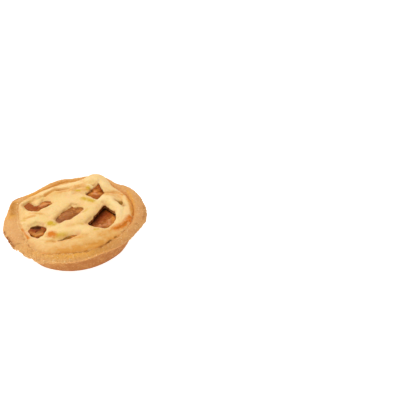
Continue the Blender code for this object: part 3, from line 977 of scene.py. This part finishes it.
# Lattice lid
lidLook = {
    "voxel": 0.3,
    "cornerRadius": 0.9,
    "cutWander": ((2.8, 0.55), (1.1, 0.3)),  # mm from one stray to the next, and how far a cut edge strays
    "pressed": (0.15, 0.9),  # mm into the shell's rim, and the same where both are one
    "fusedWander": ((5, 0.7, 31), (2, 0.5, 32)),  # size and depth in mm, seed
    "edgeKept": (0.62, 1),  # share of the thickness left at the edge, and the same where both are one
    "edgeRoll": 2.6,
    "nearShade": 0.3,  # share of a cut's juice stain and painted shade at its near right, beside the far left
    "rollWander": 0.6,
    "strandBlend": 8,  # how sharply strands meet, in 1/mm
    "strandRound": 0.7,
    "plainSheet": 0.5,  # so the crowns stand as much above the plain sheet as the creases lie below
    "dimples": ((8, 0.25, 1), (3.5, 0.18, 4), (1.6, 0.11, 6), (0.8, 0.06, 9)),  # size and depth in mm, seed
    "goldenSide": (275, 42),
    "goldenBy": (0.25, 0.6, 0.25, 0.3),  # front, front border (also painted shade where it slopes away from the light), whole border, hollows (pooled wash and painted shade)
    "highlightOnCrowns": 0.6,
    # Strands of the lattice: points in plan, half width and crown in mm
    "strands": (
        ((18, 26), (24.5, 21), (28.4, 17.2), (30.6, 12), (30.9, 4), (30.2, -4), (28, -11), 3, 1.2),
        ((13, 9), (17.5, 10), (22, 7.6), (24.8, 2), (25.8, -4), (24.8, -11), (20, -17.5), 3.6, 0.85),
        ((-15, -13), (-8, -11.6), (0, -9.6), (5.2, -4), (9.6, 3), (12, 8), 4.8, 0.6),
        ((-29.5, 6), (-24, 5), (-16, 6.6), (-9, 11.6), (-4, 15.6), (2, 17.6), (8, 15), 6.4, 0.5),
        ((-10, 19), (-2, 20.4), (4, 18), 5, 0.5),
        ((0.2, 19), (1, 23), (3.2, 26), (6.6, 26.6), (10, 25), (12, 22.5), 2, 1.1),
        ((-29, 19), (-26, 21.6), (-20, 23), (-14, 25.8), (-8, 28.6), (-1, 29.2), (5, 30.4), 2.9, 1.2),
        ((8, 30), (14, 31.5), (19, 29.5), (22, 25), 3.8, 1),
        ((-30, 17), (-29.4, 12), (-28.8, 7), 2.4, 0.6),
        ((-28, -1), (-28, -7), (-25.4, -13.4), (-21.6, -19), 2.6, 0.5),
        ((-22, -20), (-14, -26), (-4, -28.4), (6, -28), (15, -25), (22, -20), (26.6, -15), 5.6, 1.2),
        ((-28, 1), (-21, -0.2), (-14.4, -4), (-12.6, -10), (-15, -16), (-19, -20), 3.8, 0.5),
        ((-12, -16), (-6, -15.6), (1, -15.6), (6, -18), (12, -20.6), (19, -20.4), 3.8, 0.7),
        ((-30.4, -1), (-30, -1.4), 1.1, 0.8),
        ((-28.4, -2), (-28, -2.4), 1.1, 0.9),
    ),
    # Creases where cuts closed again and strands overlap: points in plan, half width and depth in mm
    "creases": (
        ((-15.4, 21.6), (-11.1, 25), (-9, 26.2), (-3.4, 25.8), (0.3, 25.1), 0.7, 0.9),
        ((19.6, 17.4), (22.4, 17), (25.6, 17.2), (27.8, 15.6), (29.6, 12.8), 0.8, 1.2),
        ((26.3, 12.6), (28, 10.7), 0.8, 0.5),
        ((-20.4, 4.7), (-17.5, 2.8), 0.8, 0.5),
        ((-26.8, 3.4), (-21.8, 2.3), 0.8, 0.5),
        ((-12.4, -22.6), (-16, -21.8), (-20, -19), 0.7, 0.6),
        ((0.4, -19.8), (2.1, -21), (4.2, -22.6), (8, -24.1), 0.8, 0.5),
        ((8.4, -19.4), (11.4, -19.2), 0.8, 0.4),
        ((1, -29.8), (9, -30), 0.7, 0.35),
        ((7.4, 17.8), (4.8, 18.6), (1.4, 17.8), 0.8, 0.5),
        ((7.1, 31), (9.8, 28), 0.9, 0.6),
        ((-22.4, 17.8), (-21.2, 20.4), 0.7, 0.4),
    ),
    # Painted by the oven, and painted light and shade where told: points in plan, half width in mm, strength
    "lip": (  # thin dough on the near side of a window, painted lighter as a highlight
        ((-9, -7.8), (-6, -6), (-2, -5.2), (3, -1.8), (6.6, 2), 0.8, 0.75),
        ((-26.8, -9), (-24.2, -13), (-21.2, -17.2), 0.9, 0.7),
        ((5, -11.8), (9.4, -15.8), (13, -18.2), 0.8, 0.6),
        ((-11, -23.6), (-5, -22.8), (1, -19.2), 0.8, 0.6),
        ((7, 17), (10.8, 13.4), (14, 8.8), 0.6, 0.5),
    ),
    "soakedAndShaded": (  # juice seeped into thin dough, and painted shade, mostly on the far side
        ((-11.2, -3), (-7.2, 3.4), (-2.4, 7), (-0.5, 9.2), (1.8, 7.6), 0.8, 0.6),
        ((-10.8, -3.4), (-9.6, -6.4), 1.1, 0.6),
        ((-28, 16.6), (-24.4, 19), (-21.4, 14.4), 0.9, 0.5),
        ((-18.4, 14.6), (-16.4, 18.8), 0.7, 0.5),
        ((-25.4, -4.2), (-21.3, -3.2), (-17.2, -6), 0.8, 0.3),
        ((16.8, 5.6), (19.6, 2), 0.8, 0.4),
        ((5.4, -10.6), (8.8, -6.4), 0.8, 0.45),
        ((24.4, 6.6), (26.4, 5), (27.6, 2.4), (27.9, 0.6), 1.3, 0.6),
        ((17, 27.2), (13, 24.2), 0.7, 0.4),
    ),
    # golden wash; along the creases it is pooled wash and painted shade
    "golden": (
        ((-14.8, 22.7), (-9, 26.3), (0.3, 25.1), 1, 0.8),
        ((-9, 28), (-6, 24), 2, 0.5),
        ((-8, 22.4), (-4.4, 22.8), (0, 22.2), 1.6, 0.9),
        ((-28, 24), (-20, 27.6), (-10, 31.4), (-2, 32.6), 2, 0.8),
        ((1, 21), (3.2, 25.4), (8, 25.4), 2.4, 0.7),
        ((2.6, 20.6), (9.2, 21.6), 1.9, 0.7),
        ((-25.6, 21.6), (-21.6, 21.4), (-18, 21.4), 1.8, 0.55),
        ((20.2, 16.6), (25.6, 16.4), (29.6, 12.8), 1.4, 0.9),
        ((20, 14.6), (24, 13.4), (28, 10.4), 2.4, 0.5),
        ((-4, -12), (4, -12), 2, 0.45),
        ((12, -24), (22, -20.5), 4, 0.7),
        ((-16, -22.4), (-9.3, -24), (-2.5, -23.6), (4, -24), 1.9, 0.8),
        ((9, 15.8), (12.4, 12.4), 1.6, 0.35),
        ((-27.4, 3), (-21.8, 2.6), 1.2, 0.85),
        ((-24, 6.6), (-20.4, 4.7), (-16.6, 2.8), 1, 0.6),
        ((31.6, 10), (32.2, 3), (31.8, -8), 1.4, 1),
        ((0.4, -19.8), (4.2, -22.6), (8, -24.1), 0.8, 0.5),
        ((-26, 18.6), (-22.6, 19.6), 1.2, 0.5),
        ((-19.4, 6.2), (-15, 6.6), 2.4, 0.2),
        ((-15, 19.6), (-9, 21.4), (-3, 19.6), 4, 0.28),
    ),
    "olive": (
        ((-13.8, -6.6), (-12.2, -8.4), 2.3, 0.95),
        ((-10.8, -18.2), (-7.4, -18.8), 2.6, 0.6),
        ((10.1, 22.6), (10.6, 22.2), 1.4, 0.75),
        ((3.4, 21.2), (5, 20.8), 1.2, 0.9),
        ((6.4, 12.4), (11.4, 7.8), 2, 0.75),
        ((5.2, -1.4), (6.6, 1.2), 1.6, 0.6),
        ((9.4, -19.6), (11.2, -19.4), 1, 0.7),
        ((-28.6, 1.6), (-27.4, 0.8), 1.2, 0.5),
        ((-1, -11.8), (4, -12.2), 1, 0.4),
        ((-24.4, 20.4), (-22.8, 20), 1.2, 0.3),
    ),
    "orange": (
        ((20.6, -20), (23.4, -18.6), (26, -16.4), (28.4, -13.4), (29.4, -11), 2.5, 0.85),
        ((22.4, -19.6), (25.4, -17), (27.8, -14.4), 1.1, 1),
        ((-14.2, -17), (-13.2, -17.6), 2.6, 0.95),
        ((-29, -6.4), (-27.8, -9.8), (-25.9, -14.5), 0.8, 0.55),
        ((-26.2, -14.3), (-25.6, -14.8), 0.9, 0.7),
    ),
    # brown marks; along the front seam and one crease they are browning with painted shade in the crack
    "brown": (
        ((23.2, -22.6), (25.2, -21.2), 0.6, 0.45),
        ((19, -26.2), (19.9, -25.6), 0.45, 0.6),
        ((10.2, -32.3), (13.8, -30.6), (16.6, -28.2), 0.8, 0.85),
        ((-8, 26.1), (-3.4, 25.8), 0.5, 0.4),
        ((3, -8.8), (3.8, -8.7), 0.45, 0.35),
        ((1.3, -25.1), (1.9, -25.1), 0.45, 0.3),
        ((21.8, -19.8), (24.8, -17.6), (27.6, -14.8), 0.7, 0.4),
        ((21.4, -20), (22.6, -19.6), 0.6, 0.35),
        ((-20.6, -29.6), (-15.6, -31.2), (-10.6, -32), 0.5, 0.6),
        ((-8.6, -32.9), (-2.9, -33.4), (1.7, -33.4), (6, -33.2), 0.6, 0.55),
    ),
}


def cutWindows(slab):
    cutters = []
    for index, window in enumerate(windowLook.values()):
        corners = window["corners"]
        pickNothing()
        bpy.ops.mesh.primitive_circle_add(vertices=len(corners), radius=mm, fill_type="NGON")
        cutter = newest("cutter")
        for vertex, (x, y) in zip(cutter.data.vertices, corners):
            vertex.co = (x * mm, y * mm, -3 * mm)
        editAll()
        bpy.ops.mesh.bevel(
            offset=lidLook["cornerRadius"] * mm, segments=2, affect="VERTICES", clamp_overlap=True
        )
        bpy.ops.mesh.subdivide(number_cuts=5)
        editDone()
        points = readPoints(cutter)
        for wave, stray in lidLook["cutWander"]:
            points[:, 0] += stray * grain(points, wave, index)
            points[:, 1] += stray * grain(points, wave, index + 20)
        writePoints(cutter, points)
        editAll()
        bpy.ops.mesh.extrude_region_move(TRANSFORM_OT_translate={"value": (0, 0, 6 * mm)})
        editDone()
        fixNormals(cutter)
        cutters.append(cutter)
    cutter = joinPieces(cutters, "windowCutter")
    addModifier(slab, "BOOLEAN", operation="DIFFERENCE", solver="EXACT", object=cutter)
    bpy.data.objects.remove(cutter)


def makeLid(pastry):
    look, form = lidLook, pieForm
    half = form["lidHalf"]
    pickNothing()
    bpy.ops.mesh.primitive_cylinder_add(vertices=180, radius=form["lidRadius"] * mm, depth=2 * half * mm)
    lid = newest("latticeLid")
    points = readPoints(lid)
    azimuth = azimuthOf(points[:, 0], points[:, 1])
    fused = swell(azimuth, form["fused"])
    radius = lidEdgeRadius(azimuth) + mix(*look["pressed"], fused)
    radius += fused * relief(points, look["fusedWander"])
    points[:, 0] = radius * np.cos(np.radians(azimuth))
    points[:, 1] = radius * np.sin(np.radians(azimuth))
    writePoints(lid, points)
    cutWindows(lid)
    addModifier(lid, "REMESH", mode="VOXEL", voxel_size=look["voxel"] * mm)

    points = readPoints(lid)
    x, y, z = points.T
    azimuth = azimuthOf(x, y)
    rim = lidEdgeRadius(azimuth) - np.hypot(x, y)
    least = mix(*look["edgeKept"], swell(azimuth, form["fused"]))
    kept = mix(least, 1.0, np.sqrt(1 - (1 - np.clip(rim / look["edgeRoll"], 0, 1)) ** 2))
    juiceAndShade, soakedAndShaded = np.zeros(len(x)), np.zeros(len(x))
    stray = look["rollWander"] * grain(points, 3.0, 21.0)
    for window in windowLook.values():
        distance = strokeDistance(x, y, closedOutline(window["corners"]))
        # the cut wall is painted with juice stain and painted shade, the shade darkest at a window's far left
        wall = ease((0.6 - z / half) / 0.5) * ease((0.8 - distance) / 0.5)  # the cut itself, but for its top
        soakedAndShaded = np.maximum(soakedAndShaded, wall)
        shade = ease(0.5 - acrossWindow(x, y, window["corners"]))
        juiceAndShade = np.maximum(juiceAndShade, window["soakAndShade"] * wall * mix(look["nearShade"], 1.0, shade))
        rolled = np.sin(0.5 * math.pi * np.clip((distance + stray) / window["roll"], 0, 1))
        kept = np.minimum(kept, mix(window["kept"], 1.0, rolled))
    points[:, 2] = -half + (z + half) * kept
    writePoints(lid, points)
    addModifier(lid, "SMOOTH", factor=0.5, iterations=6)

    points = readPoints(lid)
    x, y, flat = points.T
    upper = rise(flat / half, -0.3, 0.9)
    crowns = np.ones(len(x))
    for *stroke, width, crown in look["strands"]:
        share = np.clip(strokeDistance(x, y, stroke) / width, 0, 1)
        crowns += np.exp(look["strandBlend"] * crown * (1 - share * share) ** look["strandRound"]) - 1
    raised = np.log(crowns) / look["strandBlend"] - look["plainSheet"]
    for *stroke, width, depth in look["creases"]:
        raised -= depth * bell(strokeDistance(x, y, stroke), width)
    plan = np.column_stack((x, y, 0 * x))
    raised += relief(plan, look["dimples"])
    z = lidMiddleAt(x, y) + flat * lidHalfAt(x, y) / half + upper * raised
    writePoints(lid, np.column_stack((x, y, z)))

    azimuth, radius = azimuthOf(x, y), np.hypot(x, y)
    seam = lidEdgeRadius(azimuth)
    front = facing(azimuth, look["goldenSide"])
    outward = rise(radius / seam, 0.62, 0.38)
    onFront, onFrontBorder, onBorder, shadeInHollows = look["goldenBy"]
    # golden egg wash, laid on as painted shade too in the hollows and down the front border
    golden = front * (onFront * rise(radius, 19, 4) + onFrontBorder * outward)
    golden += onBorder * ease(outward * 2 - 1) + shadeInHollows * ease((-0.15 - raised) / 0.7)
    paint(lid, "golden", np.maximum(golden, strokes(x, y, look["golden"])))
    edge = seam - radius + 1.1 * grain(plan, 2.2, 12.0)
    paint(lid, "bare", swell(azimuth, form["fused"]) * ease((2.2 - edge) / 2.6))
    # painted highlight on the crowns of the strands
    paint(lid, "pale", look["highlightOnCrowns"] * ease((raised + 0.1) / 0.6) * (1 - front))
    for layer in ("olive", "lip", "orange", "brown"):
        paint(lid, layer, strokes(x, y, look[layer]))
    paint(lid, "soakedAndShaded", np.maximum(soakedAndShaded, strokes(x, y, look["soakedAndShaded"])))
    paint(lid, "juiceAndShade", juiceAndShade)
    dress(lid, pastry, "lid_pastry", "lattice_lid")
    return lid


# Camera, light and floor
stageLook = {
    "cameraPlace": (0.0, -0.2989, 0.2297),  # fitted to the pie's outline
    "heading": 13.7,  # degrees to the right of the pie
    "pitch": 35.06,
    "roll": -1.27,
    "lens": 57.53,
    "sensor": 36.0,
    "floorSize": 6,
    "floorColour": "#BDBDBD",
    "floorShader": {"Roughness": 0.9, "Specular IOR Level": 0.1, "Emission Strength": 1.7},
    "worldStrength": 0.78,
    "keyPlace": (-0.35, 0.30, 0.75),
    "keySize": 0.6,
    "keyPower": 3.2,
}


def makeStage():
    look = stageLook
    pickNothing()
    bpy.ops.mesh.primitive_plane_add(size=look["floorSize"])
    floor = newest("floor")
    material = bpy.data.materials.new("whiteTable")
    material.use_nodes = True
    shader = material.node_tree.nodes["Principled BSDF"]
    for key, value in look["floorShader"].items():
        shader.inputs[key].default_value = value
    for key in ("Base Color", "Emission Color"):
        shader.inputs[key].default_value = hexLinear(look["floorColour"])
    floor.data.materials.append(material)
    world = bpy.context.scene.world or bpy.data.worlds.new("studio")
    bpy.context.scene.world = world
    world.use_nodes = True
    background = world.node_tree.nodes["Background"]
    background.inputs["Color"].default_value = (1.0, 1.0, 1.0, 1.0)
    background.inputs["Strength"].default_value = look["worldStrength"]
    bpy.ops.object.light_add(type="AREA", location=look["keyPlace"])
    key = bpy.context.object
    key.name = "keyLight"
    key.data.energy = look["keyPower"]
    key.data.size = look["keySize"]
    key.rotation_mode = "QUATERNION"
    key.rotation_quaternion = (-Vector(look["keyPlace"])).to_track_quat("-Z", "Y")
    bpy.context.scene.view_settings.view_transform = "Standard"


def makeCamera():
    look = stageLook
    heading, pitch, roll = (math.radians(look[name]) for name in ("heading", "pitch", "roll"))
    level = math.cos(pitch)
    ahead = Vector((math.sin(heading) * level, math.cos(heading) * level, -math.sin(pitch)))
    bpy.ops.object.camera_add(location=look["cameraPlace"])
    camera = bpy.context.object
    camera.name = "photoCamera"
    camera.rotation_mode = "QUATERNION"
    turn = ahead.to_track_quat("-Z", "Y").to_matrix().to_4x4() @ Matrix.Rotation(roll, 4, "Z")
    camera.rotation_quaternion = turn.to_quaternion()
    camera.data.sensor_width = look["sensor"]
    camera.data.lens = look["lens"]
    camera.data.clip_start = 0.01
    bpy.context.scene.camera = camera


makeStage()
makeCamera()
print("stage and camera are up")
shortcrust = bakedMaterial("bakedShortcrust", shortcrustLook)
crustShell = makeCrust()
print("crust shell", len(crustShell.data.polygons), "faces")
crumbs = makeCrumbs(crustShell, shortcrust)
dress(crustShell, shortcrust, "shortcrust", "crust_shell")
print("crumbs", len(crumbs.data.polygons), "faces")
filling = makeFilling(bakedMaterial("cookedApple", cookedAppleLook))
print("filling", len(filling.data.polygons), "faces")
lid = makeLid(bakedMaterial("eggWashedPastry", lidPastryLook))
print("lid", len(lid.data.polygons), "faces")
